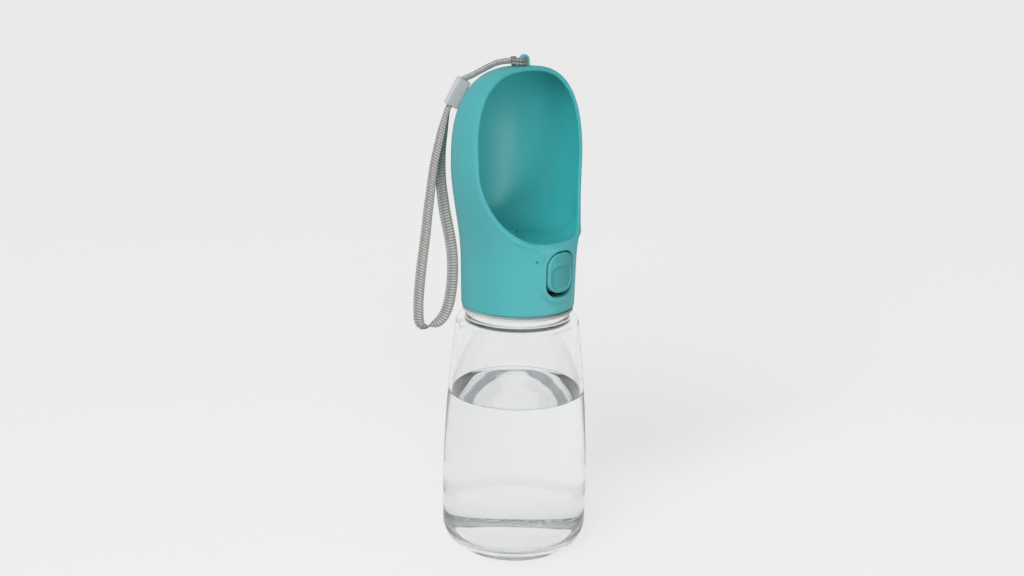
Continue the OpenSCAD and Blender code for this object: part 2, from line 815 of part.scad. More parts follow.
module valve_spring() {
    steps = 12;
    n = spring_turns * steps;
    lift = (spring_l - 2 * wire_r) / n;
    color("silver")
        translate([0, spring_y + wire_r, valve_z])
            rotate([-90, 0, 0])
                loft([for (i = [0:n]) let (a = 360 * i / steps, out = [cos(a), sin(a), 0])
                    [for (k = [0:7])
                        out * (spring_r + wire_r * cos(45 * k)) + [0, 0, lift * i - wire_r * sin(45 * k)]]]);
}

module strap_cord() {
    color(strap_grey)
        band(cord_route, cord_d, cord_d);
}

// A moulded slide with rounded ends that grips both runs of the loop
module strap_clip() {
    mid = route_at(clip_at);
    turn = atan2(strap_side.y, strap_side.x);
    color([0.72, 0.73, 0.74])
        translate(mid)
            rotate([0, 0, turn])
                rotate([0, -clip_lean, 0])
                    rotate([90, 0, 0])
                        linear_extrude(clip_t, center = true)
                            round_rect(clip_w, clip_l, 1.2);
}

module strap_webbing() {
    color(strap_grey)
        band(loop_route, strap_w, strap_t);
}

bottle();
mouth_gasket();
head_shell();
thread_sleeve();
valve_body();
stem_bush();
stem_o_ring();
valve_seat();
barrel_cap();
outlet_gasket();
key_guide();
guide_screws();
lock_carrier();
key_cap();
key_plunger();
valve_stem();
valve_plug();
stem_washer();
valve_spring();
strap_cord();
strap_clip();
strap_webbing();
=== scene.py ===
from math import cos, radians, sin

import bpy
import numpy as np
from mathutils import Matrix, Vector


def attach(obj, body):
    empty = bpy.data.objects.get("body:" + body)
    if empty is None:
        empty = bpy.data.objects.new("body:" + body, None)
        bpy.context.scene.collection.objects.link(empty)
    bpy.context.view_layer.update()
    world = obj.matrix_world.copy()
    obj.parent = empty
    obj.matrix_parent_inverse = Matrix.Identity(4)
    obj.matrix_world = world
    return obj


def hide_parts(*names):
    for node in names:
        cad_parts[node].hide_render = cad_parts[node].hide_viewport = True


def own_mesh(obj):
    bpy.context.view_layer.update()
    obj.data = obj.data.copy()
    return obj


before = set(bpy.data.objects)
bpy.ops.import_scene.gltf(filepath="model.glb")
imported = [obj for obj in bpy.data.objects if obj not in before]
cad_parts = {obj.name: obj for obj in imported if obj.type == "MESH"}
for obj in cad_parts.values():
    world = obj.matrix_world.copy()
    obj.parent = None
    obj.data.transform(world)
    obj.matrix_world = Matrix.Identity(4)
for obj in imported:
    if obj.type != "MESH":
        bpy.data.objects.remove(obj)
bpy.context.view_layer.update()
scene = bpy.context.scene
scene.view_settings.view_transform = "Standard"
mm = 0.001

# Camera: it stands before and to the left of the bottle, a little above it, and looks
# down into the bowl.
camera_turn = radians(46)
camera_reach = 0.6588
camera_height = 0.3219
looks_down = radians(15.56)
aims_left = radians(0.26)
leans = radians(1.03)
lens = bpy.data.cameras.new("camera")
lens.sensor_width = 36
lens.lens = 47.39
lens.clip_start = 0.02
camera = bpy.data.objects.new("camera", lens)
scene.collection.objects.link(camera)
scene.camera = camera
heading = camera_turn - aims_left
ahead = Vector((sin(heading) * cos(looks_down), cos(heading) * cos(looks_down),
                -sin(looks_down)))
level = ahead.cross(Vector((0, 0, 1))).normalized()
upward = level.cross(ahead)
right = level * cos(leans) + upward * sin(leans)
above = upward * cos(leans) - level * sin(leans)
stand = Matrix((right, above, -ahead)).transposed().to_4x4()
stand.translation = (-camera_reach * sin(camera_turn), -camera_reach * cos(camera_turn),
                     camera_height)
camera.matrix_world = stand

# Strap cord: braided grey polyester, 2.8 mm thick. It is hitched through the eye on top of
# the head, lies over the dome and ends in the clip.
strap_side = np.array([-0.695, 0.719])
cord_d = 2.8
cord_route = [
    (-1.4, 252.8, 1.3), (-0.3, 252.8, 0.3), (0.7, 252.8, -0.5), (2.1, 252.8, -1.1),
    (4.3, 252.8, -1.1), (7, 252.6, -0.8), (10, 252.2, -0.5), (13, 251.4, -0.2),
    (16, 250.0, 0), (19, 248.4, 0), (22, 246.7, 0), (25, 245.1, 0), (27.2, 244.3, 0),
    (28.1, 243.8, 0), (28.6, 243.0, 0),
]


def beside(route):
    """Points in mm for route points [distance from the axis, height, step to the front],
    counted along the direction in which the strap hangs."""
    far, high, step = np.asarray(route, float).T[:3]
    return np.stack([strap_side[0] * far - strap_side[1] * step,
                     strap_side[1] * far + strap_side[0] * step, high], 1)


def smooth_path(points, spacing):
    """A curve through the points, a cubic between each pair whose ends head from the point
    before to the point after, cut at even steps of about `spacing` of its length."""
    points = np.asarray(points, float)
    ends = np.vstack([2 * points[0] - points[1], points, 2 * points[-1] - points[-2]])
    t = np.linspace(0, len(points) - 1, 40 * len(points))
    k = np.minimum(t.astype(int), len(points) - 2)
    u = (t - k)[:, None]
    p0, p1, p2, p3 = (ends[k + i] for i in range(4))
    fine = 0.5 * (2 * p1 + (p2 - p0) * u + (2 * p0 - 5 * p1 + 4 * p2 - p3) * u**2
                  + (3 * p1 - p0 - 3 * p2 + p3) * u**3)
    gone = np.linalg.norm(np.diff(fine[:, :3], axis=0), axis=1)
    along = np.concatenate([[0], np.cumsum(gone)])
    steps = np.linspace(0, along[-1], round(along[-1] / spacing) + 1)
    return np.stack([np.interp(steps, along, c) for c in fine.T], 1), steps


def unit(v):
    """Each vector at length 1."""
    return v / np.linalg.norm(v, axis=-1, keepdims=True)


def band_frame(path, turn=0.0):
    """Across and through directions of a band at each point of its path: across lies in the
    plane in which the strap hangs, and both are turned by `turn` about the path."""
    ahead = unit(np.gradient(path, axis=0))
    flat = np.array([strap_side[1], -strap_side[0], 0])
    side = unit(np.cross(flat, ahead))
    face = np.cross(ahead, side)
    turn = np.broadcast_to(turn, len(path))[:, None]
    return (side * np.cos(turn) + face * np.sin(turn),
            face * np.cos(turn) - side * np.sin(turn))


def make_piece(name, points, corners, starts, body):
    """A smooth mesh from points in mm, the corners of all its faces in one list, and the
    place in that list where each face starts. It rides on a body."""
    mesh = bpy.data.meshes.new(name)
    mesh.vertices.add(len(points))
    mesh.vertices.foreach_set("co", (np.asarray(points, float) * mm).ravel())
    mesh.loops.add(len(corners))
    mesh.loops.foreach_set("vertex_index", np.asarray(corners, np.int32))
    mesh.polygons.add(len(starts))
    mesh.polygons.foreach_set("loop_start", np.asarray(starts, np.int32))
    mesh.polygons.foreach_set("use_smooth", np.ones(len(starts), bool))
    mesh.update(calc_edges=True)
    piece = bpy.data.objects.new(name, mesh)
    scene.collection.objects.link(piece)
    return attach(piece, body)


def ring_mesh(name, rings, body, along=None):
    """A closed skin over rings of points, an array (rings, points of a ring, 3) in mm:
    four-sided faces join neighbouring rings, and a fan closes each end. UV is the way along
    in mm, or the ring's number, and the share of the way round."""
    rows, around = rings.shape[:2]
    i, j = np.meshgrid(np.arange(rows - 1), np.arange(around), indexing="ij")
    nxt, up = (j + 1) % around, i + 1
    corners = np.stack([i * around + j, i * around + nxt, up * around + nxt, up * around + j], -1)
    corners = corners.ravel()
    starts = 4 * np.arange(i.size)
    along = np.arange(float(rows)) if along is None else along
    u = np.stack([along[i], along[i], along[up], along[up]], -1).ravel()
    v = np.stack([j, j + 1, j + 1, j], -1).ravel() / around
    points = np.vstack([rings.reshape(-1, 3), rings[0].mean(0), rings[-1].mean(0)])
    k = np.arange(around)
    last, tip = (rows - 1) * around, rows * around
    fans = np.concatenate([np.stack([(k + 1) % around, k, 0 * k + tip], 1),
                           np.stack([last + k, last + (k + 1) % around, 0 * k + tip + 1], 1)])
    starts = np.append(starts, len(corners) + 3 * np.arange(len(fans)))
    corners = np.append(corners, fans.ravel())
    u = np.append(u, np.repeat([along[0], along[-1]], 3 * around))
    v = np.append(v, np.tile(np.stack([k, k + 1, k + 0.5], 1).ravel() / around, 2))
    piece = make_piece(name, points, corners, starts, body)
    chart = piece.data.uv_layers.new(name="UVMap")
    chart.data.foreach_set("uv", np.stack([u, v], 1).ravel())
    return piece


def pipe(path, across, through, wide, thick, power=2.0, sides=28):
    """Rings round a path: a rounded outline with half sizes `wide` and `thick` along the
    across and through directions, an ellipse at power 2 and squarer above it."""
    a = 2 * np.pi * np.arange(sides) / sides
    c = np.sign(np.cos(a)) * np.abs(np.cos(a)) ** (2 / power)
    s = np.sign(np.sin(a)) * np.abs(np.sin(a)) ** (2 / power)
    wide, thick = (np.asarray(h) * np.ones((len(path), sides)) for h in (wide, thick))
    return (path[:, None] + across[:, None] * (wide * c)[..., None]
            + through[:, None] * (thick * s)[..., None])


class Wire:
    """A socket of a material's node tree; arithmetic on it adds the Math nodes."""

    def __init__(self, socket):
        self.socket = socket

    def maths(self, operation, *values):
        return Finish.add_to(self.socket.id_data, "ShaderNodeMath", {"operation": operation},
                             dict(enumerate(values)))

    def __add__(self, other):
        return self.maths("ADD", self, other)

    def __sub__(self, other):
        return self.maths("SUBTRACT", self, other)

    def __rsub__(self, other):
        return self.maths("SUBTRACT", other, self)

    def __mul__(self, other):
        return self.maths("MULTIPLY", self, other)

    def __pow__(self, other):
        return self.maths("POWER", self, other)

    def __lt__(self, other):
        return self.maths("LESS_THAN", self, other)

    def __gt__(self, other):
        return self.maths("GREATER_THAN", self, other)

    __radd__ = __add__
    __rmul__ = __mul__


class Finish:
    """A material under construction: one Principled surface, and the nodes that feed it."""

    def __init__(self, name, **constants):
        self.material = bpy.data.materials.new(name)
        self.material.use_nodes = True
        self.tree = self.material.node_tree
        self.surface = self.tree.nodes["Principled BSDF"]
        self.set(**constants)

    def set(self, **values):
        """Gives sockets of the surface, named as in base_color, a value or a wire."""
        for name, value in values.items():
            socket = self.surface.inputs[name.replace("_", " ").title().replace("Ior", "IOR")]
            if isinstance(value, Wire):
                self.tree.links.new(value.socket, socket)
            elif socket.type == "RGBA":
                socket.default_value = (*value, 1)
            else:
                socket.default_value = value
        return self

    @staticmethod
    def add_to(tree, kind, settings=None, inputs=None, output=0):
        """One more node in a tree: its type, its settings, the values or wires of its
        sockets, and which output the wire that comes back leads from."""
        node = tree.nodes.new(kind)
        for name, value in (settings or {}).items():
            setattr(node, name, value)
        for name, value in (inputs or {}).items():
            socket = node.inputs[name]
            if isinstance(value, Wire):
                tree.links.new(value.socket, socket)
            elif hasattr(value, "__len__") and len(value) == 3 and socket.type == "RGBA":
                socket.default_value = (*value, 1)
            else:
                socket.default_value = value
        return Wire(node.outputs[output])

    def add(self, kind, settings=None, inputs=None, output=0):
        """The same in this material's own tree."""
        return self.add_to(self.tree, kind, settings, inputs, output)

    def place(self, axis=None):
        """The place on the piece in metres, or its x, y or z for axis 0, 1 or 2."""
        place = self.add("ShaderNodeTexCoord", output="Object")
        return place if axis is None else self.add("ShaderNodeSeparateXYZ", None, {0: place}, axis)

    def noise(self, scale, detail=2.0, **more):
        """Fractal noise on Object coordinates, `scale` lumps to the metre."""
        return self.add("ShaderNodeTexNoise", None,
                        {"Vector": self.place(), "Scale": scale, "Detail": detail, **more})

    def mix(self, factor, first, second):
        """The first colour where the factor is 0, the second where it is 1."""
        return self.add("ShaderNodeMix", {"data_type": "RGBA"},
                        {0: factor, 6: first, 7: second}, output=2)

    def bump(self, height, strength, distance):
        """A normal that leans as if the surface rose by the height times the distance."""
        return self.add("ShaderNodeBump", None,
                        {"Height": height, "Strength": strength, "Distance": distance})

    def on(self, *pieces):
        """Makes this the one material of the pieces."""
        for piece in pieces:
            piece.data.materials.clear()
            piece.data.materials.append(self.material)


braid_step, braid_hollow = 0.16, 0.14
around_cord = 2 * np.pi * np.arange(28) / 28


def braided_r(thick, steps, plaits, lay):
    """The radius of a braid at each step of its length and all round it: two sets of
    strands lean opposite ways, and the higher of their two cosine waves stands out."""
    lean = steps[:, None] * lay
    weave = np.maximum(np.abs(np.cos(plaits * around_cord + lean)),
                       np.abs(np.cos(plaits * around_cord - lean)))
    return thick / 2 * (1 - braid_hollow + braid_hollow * weave)


cord_path, cord_steps = smooth_path(beside(cord_route), braid_step)
cord_across, cord_through = band_frame(cord_path)
cord_r = braided_r(cord_d, cord_steps, 3.5, 3.4)
cord = ring_mesh("strap_cord_braid", pipe(cord_path, cord_across, cord_through, cord_r, cord_r),
                 "head", cord_steps)
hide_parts("strap_cord")

# Hitch: the cord's own two turns round itself, drawn tight beside the eye, and the two
# strands, or bights, that run out of it through the eye. All are braid, pulled thin, and
# painted darker than the cord: painted shade.
hitch_at, hitch_d, hitch_r, hitch_turns, hitch_long, hitch_sag = 6.36, 1.35, 1.95, 2, 1.6, 0.5
bight_d, bight_gap, eye_middle_z = 1.6, 0.8, 252.75
around_hitch = np.linspace(0, 2 * np.pi * hitch_turns, 48 * hitch_turns + 1)[:, None]
near = np.argmin(np.abs(cord_steps - hitch_at))
hitch_axis = unit(cord_path[near + 1] - cord_path[near - 1])
hitch_path = (cord_path[near] - [0, 0, hitch_sag]
              + hitch_axis * (around_hitch / around_hitch[-1] - 0.5) * hitch_long
              + hitch_r * (cord_across[near] * np.cos(around_hitch)
                           + cord_through[near] * np.sin(around_hitch)))
hitch_ahead = unit(np.gradient(hitch_path, axis=0))
hitch_out = unit(np.cross(hitch_ahead, hitch_axis))
hitch = ring_mesh("strap_hitch", pipe(hitch_path, hitch_out, np.cross(hitch_ahead, hitch_out),
                                      hitch_d / 2, hitch_d / 2, sides=16), "head")
bight_route = np.array([
    (5.2, 0, -0.9), (4.5, 0, 0.8), (3.4, 0, 2.6), (2.2, 0, 4.0), (0.8, 0, 4.7), (-0.7, 0, 4.2),
    (-1.35, 0, 2.8), (-1.2, 0, 1.3), (-0.6, 0, -0.2),
])
bights = []
for number, side in enumerate((-1, 1), 1):
    path, steps = smooth_path(beside(bight_route + [0, eye_middle_z + side * bight_gap, 0]),
                              braid_step)
    across, through = band_frame(path)
    bight_r = braided_r(bight_d, steps, 3, 4)
    bight = ring_mesh(f"strap_bight_{number}", pipe(path, across, through, bight_r, bight_r),
                      "head", steps)
    bights.append(bight)

# Clip: a moulded grey slide, 14.6 mm long with rounded edges, that grips the cord above
# and both runs of the wrist loop below, in a slot at each end.
clip_middle = beside([(31.4, 236.9, 0)])[0]
clip_half = np.array([6.9, 4.4, 14.6]) / 2
clip_lean, clip_twist = radians(27), radians(20)
clip_edge_r, slot_inset, slot_deep, slot_lip = 0.7, 1.0, 0.8, 0.25
outboard = np.array([*strap_side, 0])
skyward = np.array([0, 0, 1])
clip_up = skyward * cos(clip_lean) - outboard * sin(clip_lean)
clip_wide = skyward * sin(clip_lean) + outboard * cos(clip_lean)
clip_face = np.cross(clip_up, clip_wide)
clip_wide, clip_face = (clip_wide * cos(clip_twist) + clip_face * sin(clip_twist),
                        clip_face * cos(clip_twist) - clip_wide * sin(clip_twist))
# Half of its outline as [way down from the end, way in from the side]: from the slot's
# floor out over the slot's lip, round the edge and a little way down the side.
round_a = np.linspace(0, np.pi / 2, 7)
half_run = np.concatenate([
    [(slot_deep, 2.0), (slot_deep, slot_inset + slot_lip), (slot_deep - 0.15, slot_inset),
     (slot_lip, slot_inset), (0.07, slot_inset - 0.07), (0, slot_inset - slot_lip)],
    np.stack([clip_edge_r * (1 - np.cos(round_a)), clip_edge_r * (1 - np.sin(round_a))], 1),
    [(3.5, 0.0), (5.5, 0.04)],
])
drop = np.concatenate([half_run[:, 0], 2 * clip_half[2] - half_run[::-1, 0]])
inset = np.concatenate([half_run[:, 1], half_run[::-1, 1]])[:, None]
clip_path = clip_middle + clip_up * (drop - clip_half[2])[:, None]
clip = ring_mesh("strap_clip_slide",
                 pipe(clip_path, np.tile(clip_wide, (len(drop), 1)),
                      np.tile(clip_face, (len(drop), 1)), clip_half[0] - inset,
                      clip_half[1] - inset, power=7, sides=64), "head", drop)
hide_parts("strap_clip")

# Wrist loop: grosgrain webbing, 5.8 mm wide and 1.3 mm thick, with a raised rib every
# 1.43 mm. It leaves the clip, hangs down beside the head and comes back up into the clip.
webbing_w, webbing_t, rib_pitch, rib_slant = 5.8, 1.3, 1.43, 2.6
rib_hollow, rib_notch, gather_long, gathered_by = 0.26, 0.035, 16, 0.38
loop_route = [
    (35.25, 230.3, 0.8, 50), (36.25, 228.3, 0.8, 50), (38.3, 221, 0.9, 50), (40.4, 212, 1, 48),
    (42.3, 203, 1, 46), (43.6, 194, 0.9, 42), (44.7, 185, 0.6, 38), (45.8, 176, 0.3, 34),
    (46.7, 167, 0, 32), (47.8, 158, 0, 30), (48.9, 149, 0, 28), (49.8, 140, 0, 27),
    (50.4, 132, 0, 27), (50.5, 125.6, 0, 26), (50.3, 121, 0.1, 24), (49.0, 118.0, 0.3, 30),
    (46.2, 117.3, 0.3, 58), (43.4, 118.3, 0, 100), (40.6, 119.6, -0.3, 134),
    (37.9, 122.6, -0.4, 153), (35.8, 127.3, -0.2, 162), (34.6, 132, -0.1, 166),
    (33.8, 137.5, 0, 167), (33.3, 143, 0, 167), (33.2, 150, 0, 167), (33.6, 157, 0, 168),
    (34.6, 164, 0, 172), (36, 171, -0.2, 180), (37.4, 178, -0.4, 190), (38.4, 185, -0.6, 202),
    (39.2, 192, -0.8, 212), (39.4, 199, -1, 220), (39.2, 206, -1, 226), (38.6, 213, -1, 230),
    (37.6, 220.5, -0.9, 230), (36.25, 228.3, -0.8, 230), (35.25, 230.3, -0.8, 230),
]
loop_points = np.column_stack([beside(loop_route), np.radians([p[3] for p in loop_route])])
loop_path, loop_steps = smooth_path(loop_points, rib_pitch / 8)
loop_across, loop_through = band_frame(loop_path[:, :3], loop_path[:, 3])
around_web = 2 * np.pi * np.arange(28) / 28
rib = np.abs(np.cos(np.pi * loop_steps[:, None] / rib_pitch + rib_slant / 2 * np.cos(around_web)))
selvedge = np.abs(np.cos(around_web)) ** 6
web_thick = webbing_t / 2 * (1 - rib_hollow + rib_hollow * rib * (1 - 0.5 * selvedge))
from_clip = np.minimum(loop_steps, loop_steps[-1] - loop_steps)[:, None]
spread = np.clip(from_clip / gather_long, 0, 1)
gathered = 1 - gathered_by * (1 - spread**2 * (3 - 2 * spread))
web_wide = webbing_w / 2 * gathered * (1 - rib_notch + rib_notch * rib)
webbing = ring_mesh("wrist_loop", pipe(loop_path[:, :3], loop_across, loop_through,
                                       web_wide, web_thick, power=3.6), "head", loop_steps)
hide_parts("strap_webbing")


def woven(name, lighter, darker, pitch, slant=0.0, columns=8, braid=0.0):
    """Yarn painted light on the ribs and dark between them, painted light and painted shade,
    with fine fibres over it. Ribs lean by `slant` across the face; with `braid` they cross in
    both directions."""
    cloth = Finish(name, sheen_weight=0.25, sheen_roughness=0.5)
    chart = cloth.add("ShaderNodeUVMap", {"uv_map": "UVMap"})
    way, turn = (cloth.add("ShaderNodeSeparateXYZ", None, {0: chart}, axis) * (2 * np.pi)
                 for axis in (0, 1))
    rows = way * (1 / pitch) + way.maths("COSINE", turn) * slant
    left, right = (way.maths("COSINE", rows + turn * k) for k in (braid, -braid))
    painted_rib_shading = (left * right if braid else left) * 0.5 + 0.5
    column = way.maths("COSINE", turn * columns) * 0.5 + 0.5
    yarn, patch = cloth.noise(5200, 3), cloth.noise(420, 2)
    shade = painted_rib_shading * (column * 0.6 + 0.43) + yarn * 0.5 + patch * 0.5 - 0.5
    cloth.set(base_color=cloth.mix(shade, darker, lighter), roughness=0.75 + yarn * 0.2,
              normal=cloth.bump(cloth.noise(9000, 2), 0.5, 0.00012))
    return cloth


woven("grey_grosgrain", (0.54, 0.54, 0.52), (0.20, 0.20, 0.19), rib_pitch, rib_slant, 7).on(webbing)
woven("grey_braid", (0.52, 0.52, 0.51), (0.15, 0.15, 0.147), 2.2, columns=0, braid=3).on(cord)
# The bights and the hitch are darker copies of the cord's braid: painted shade.
woven("shaded_braid", (0.42, 0.42, 0.41), (0.03, 0.03, 0.03), 1.9, columns=0, braid=2).on(*bights)
woven("shaded_hitch_braid", (0.26, 0.26, 0.25), (0.008, 0.008, 0.008), 1.8, columns=0, braid=2).on(hitch)

clip_grey = Finish("clip_grey_plastic", roughness=0.42, specular_ior_level=0.5)
clip_grey.set(base_color=clip_grey.mix(clip_grey.noise(420, 3), (0.50, 0.485, 0.49),
                                       (0.585, 0.57, 0.575)),
              normal=clip_grey.bump(clip_grey.noise(6500, 2), 0.25, 0.00006))
clip_grey.on(clip)

# Bottle: clear copolyester, blow moulded, with a thick base over a shallow hollow, a bead
# under the neck, and a neck with two starts of a coarse thread for the head's sleeve.
bottle_r, belly_z, side_arc = 37.6, 25, 760
shoulder_z, shoulder_r, wall = 121.2, 4, 1.9
base_r, floor_z, punt_r, punt_h = 14, 6.2, 20, 3.2
neck_root_r, neck_root_z, bead_r, bead_z, neck_z = 26.2, 125.2, 27.7, 128.7, 130.5
neck_r, neck_bore_r, mouth_z = 24.5, 22.5, 135.5
neck_fillets, mouth_fillets = [0.5, 0.3, 0.6, 0.6, 0.3, 0.7], [0.6, 2, 2.5]
thread_high, thread_lead, thread_half, thread_ends = 0.7, 6, 0.85, 0.4
floor_crown, axis_gap = 0.5, 0.6


def side_r(z):
    """The outside radius at height z: a long arc whose widest place is the belly."""
    return bottle_r - side_arc + np.sqrt(side_arc**2 - (z - belly_z) ** 2)


def arc(centre, r, start, stop, count):
    """Points [radius, height] on an arc, angles in degrees."""
    a = np.radians(np.linspace(start, stop, count))
    return np.stack([centre[0] + r * np.cos(a), centre[1] + r * np.sin(a)], 1)


def rounded(corners, radii, steps=5):
    """A line of [radius, height] points whose corners are replaced by round curves, each
    of which leaves both sides at r times the tangent of half the turn from the corner."""
    corners = np.asarray(corners, float)
    out = [corners[:1]]
    for before, at, after, r in zip(corners, corners[1:], corners[2:], radii):
        a, b = unit(before - at), unit(after - at)
        half = np.arccos(np.clip(a @ b, -1, 1)) / 2
        reach = min(r / np.tan(half), 0.49 * np.linalg.norm(before - at),
                    0.49 * np.linalg.norm(after - at))
        t = np.linspace(0, 1, steps)[:, None]
        start, stop = at + a * reach, at + b * reach
        out.append((1 - t) ** 2 * start + 2 * t * (1 - t) * at + t**2 * stop)
    out.append(corners[-1:])
    return np.vstack(out)


def even(line, spacing):
    """The same line, cut at even steps of about `spacing`."""
    gone = np.concatenate([[0], np.cumsum(np.linalg.norm(np.diff(line, axis=0), axis=1))])
    steps = np.linspace(0, gone[-1], round(gone[-1] / spacing) + 1)
    return np.stack([np.interp(steps, gone, c) for c in line.T], 1)


def turned(name, line, body, around, swell=None):
    """A profile of [radius, height] points spun about the upright axis; `swell` gives what
    is added to the radius at each height and angle. The profile runs up its outside."""
    a = 2 * np.pi * np.arange(around) / around
    r = line[:, :1] + (0 if swell is None else swell(line, a[None]))
    rings = np.stack([r * np.cos(a), r * np.sin(a), line[:, 1:] + 0 * a], 2)
    return ring_mesh(name, rings, body)


def thread_swell(line, angle):
    """Two ridges round the neck: a smooth bump about each start's helix, faded at its ends,
    on the outside of the neck alone."""
    r, z = line[:, :1], line[:, 1:]
    low, high = neck_z + 0.9, mouth_z - 1.1
    out = 0
    for start in (0, np.pi):
        turn = np.mod(angle - start, 2 * np.pi)
        centre = low + thread_lead * turn / (2 * np.pi)
        near = np.clip(1 - np.abs(z - centre) / thread_half, 0, 1)
        fade = np.clip((high - centre) / thread_ends, 0, 1) * np.clip(turn / 0.25, 0, 1)
        out = out + np.minimum(1, 1.7 * near) * fade
    return thread_high * np.minimum(out, 1) * (r > neck_r - 0.4)


base_cx = side_r(base_r) - base_r
inner_r = base_r - wall
inner_z = floor_z + inner_r
inner_cx = side_r(inner_z) - wall - inner_r
shoulder_cx = side_r(shoulder_z) - shoulder_r
dish_r = (punt_r**2 + punt_h**2) / (2 * punt_h)
dish_a = np.degrees(np.arcsin(punt_r / dish_r))
outside = np.vstack([
    even(np.vstack([arc((0, punt_h - dish_r), dish_r, 90, 90 - dish_a, 24)[1:],
                    rounded([(punt_r - 0.4, 0.35), (punt_r + 0.5, 0), (base_cx, 0)], [0.8]),
                    arc((base_cx, base_r), base_r, -90, 0, 30)]), 0.9),
    [(side_r(z), z) for z in np.linspace(base_r + 1, shoulder_z - 0.3, 80)],
    even(arc((shoulder_cx, shoulder_z), shoulder_r, 0, 90, 16), 0.4),
    even(rounded([(shoulder_cx - 0.4, neck_root_z), (neck_root_r, neck_root_z),
                  (neck_root_r, bead_z), (bead_r, bead_z), (bead_r, neck_z), (neck_r, neck_z),
                  (neck_r, mouth_z), (neck_bore_r + 1, mouth_z)], neck_fillets), 0.25),
])
inside = np.vstack([
    rounded([(neck_bore_r + 0.8, mouth_z), (neck_bore_r, mouth_z), (neck_bore_r, neck_root_z),
             (neck_bore_r + 2.4, neck_root_z - wall), (shoulder_cx, neck_root_z - wall)],
            mouth_fillets, 9),
    even(arc((shoulder_cx, shoulder_z), shoulder_r - wall, 90, 0, 12)[1:], 0.4),
    [(side_r(z) - wall, z) for z in np.linspace(shoulder_z - 1, inner_z + 1, 70)],
    arc((inner_cx, inner_z), inner_r, 0, -90, 24),
    np.stack([np.linspace(inner_cx - 1.5, axis_gap, 14),
              floor_z + floor_crown * (1 - np.cos(np.pi * np.linspace(0, 1, 14)))], 1),
])
bottle = turned("clear_bottle", np.vstack([outside, inside]), "bottle", 192, thread_swell)
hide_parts("bottle")

# Its clear copolyester hardly dims the light on what stands behind it: shadow rays and
# diffuse rays pass almost unchanged. A stippled heel runs round the foot, painted dark teal:
# painted reflection of the teal head in the base. The hollow underside shows the floor that it
# rests on.
heel_r, heel_h, hollow_h, frost_r = 22.5, 3.4, 4.0, 26.6
clear_tint, heel_reflection_tint = (0.985, 0.992, 0.992), (0.015, 0.07, 0.09)
lets_through = 0.94


def seen(tree, *kinds):
    """1 for light paths of these kinds, else 0."""
    looks = [Finish.add_to(tree, "ShaderNodeLightPath", output=kind) for kind in kinds]
    return Finish.add_to(tree, "ShaderNodeClamp", None, {0: sum(looks[1:], looks[0])})


clear = Finish("clear_copolyester", transmission_weight=1.0, ior=1.5)
across_x, across_y, height = (clear.place(axis) for axis in range(3))
reach = (across_x * across_x + across_y * across_y) ** 0.5
heel = (reach > heel_r * mm) * (height < heel_h * mm)
resting = (reach < heel_r * mm) * (height < hollow_h * mm)
frosted = (height > bead_z * mm) * (height < neck_z * mm) * (reach > frost_r * mm)
stipple = clear.add("ShaderNodeTexVoronoi", None, {"Vector": clear.place(), "Scale": 750})
passing = seen(clear.tree, "Is Shadow Ray", "Is Diffuse Ray") * lets_through
# The heel's dark teal is painted reflection of the teal head.
clear.set(base_color=clear.mix(heel * (1.25 - stipple * 0.8), clear_tint, heel_reflection_tint),
          normal=clear.bump(stipple * heel, 0.5, 0.0002),
          roughness=0.01 + heel * 0.08 + frosted * 0.55, alpha=(1 - passing) * (1 - resting))
clear.on(bottle)

# Water: it stands 84.5 mm high in the bottle, five eighths of its height, and creeps up the
# wall a little where they meet. It reaches 0.3 mm into the wall, so no air shows between.
water_z, sunk, creep, creep_run = 84.5, 0.3, 0.85, 0.9
water_r = side_r(water_z) - wall
water_line = np.vstack([
    [(r, floor_z + floor_crown * (1 + np.cos(np.pi * r / (inner_cx - 1))) - sunk)
     for r in np.linspace(axis_gap, inner_cx - 1.2, 16)],
    arc((inner_cx, inner_z), inner_r + sunk, -90, 0, 26),
    [(side_r(z) - wall + sunk, z) for z in np.linspace(inner_z + 1, water_z + 0.9, 46)],
    [(water_r + sunk - 0.1, water_z + creep + 0.2), (water_r - 0.15, water_z + creep)],
    [(water_r - d, water_z + creep * np.exp(-d / creep_run)) for d in (0.5, 1, 1.6, 2.4, 3.4, 5)],
    [(r, water_z) for r in np.linspace(28, axis_gap, 20)],
])
water = turned("water", water_line, "bottle", 160)
fresh = Finish("water", base_color=(1, 1, 1), transmission_weight=1.0, ior=1.333, roughness=0.0)
surface = fresh.place(2) > (water_z - 0.5) * mm
fresh.set(normal=fresh.bump(fresh.noise(55, 0.5) * surface, 0.35, 0.002),
          alpha=1 - seen(fresh.tree, "Is Shadow Ray", "Is Diffuse Ray") * lets_through)
fresh.on(water)

# Head shell: one moulding of teal polypropylene with a fine satin skin. Its collar goes over
# the neck, the valve room is closed above by the bowl's floor, and the hood curls round the
# bowl to a rounded rim. The key's window is in a slightly flattened front.
collar_z, collar_r, flare_z, wide_z, head_top = 131.2, 28.6, 152, 205, 250.4
head_half_w, head_half_d, front_swell, front_r = 38.8, 28.1, 3.4, 29
section_power, dome_power, head_wall = 2.02, 2.6, 2.2
deck_bore_r, deck_top_z, room_r, room_top_z, bowl_floor_z = 26.9, 138.8, 26.2, 164.6, 165.7
window_half_w, window_half_h, window_corner, window_z = 9.2, 11.65, 7.4, 151.65
window_back_y, pad_back_y, pad_rim, pad_lift, pad_edge = -15, -12, 2.8, 1.0, 2.4
lip_z, rim_top, rim_mid, rim_sweep_d, rim_sweep_h, sweep_z = 167.1, 4.2, 7.9, 26.8, 40.6, 205.8
# The rim's rounding grows from lip_y forward, and the bowl's cove from cove_y backward.
edge_r, lip_r, lip_y, lip_run = 0.9, 3.1, -17, 9
cove_r, cove_more, cove_y, cove_run = 1.5, 11, -27, 14
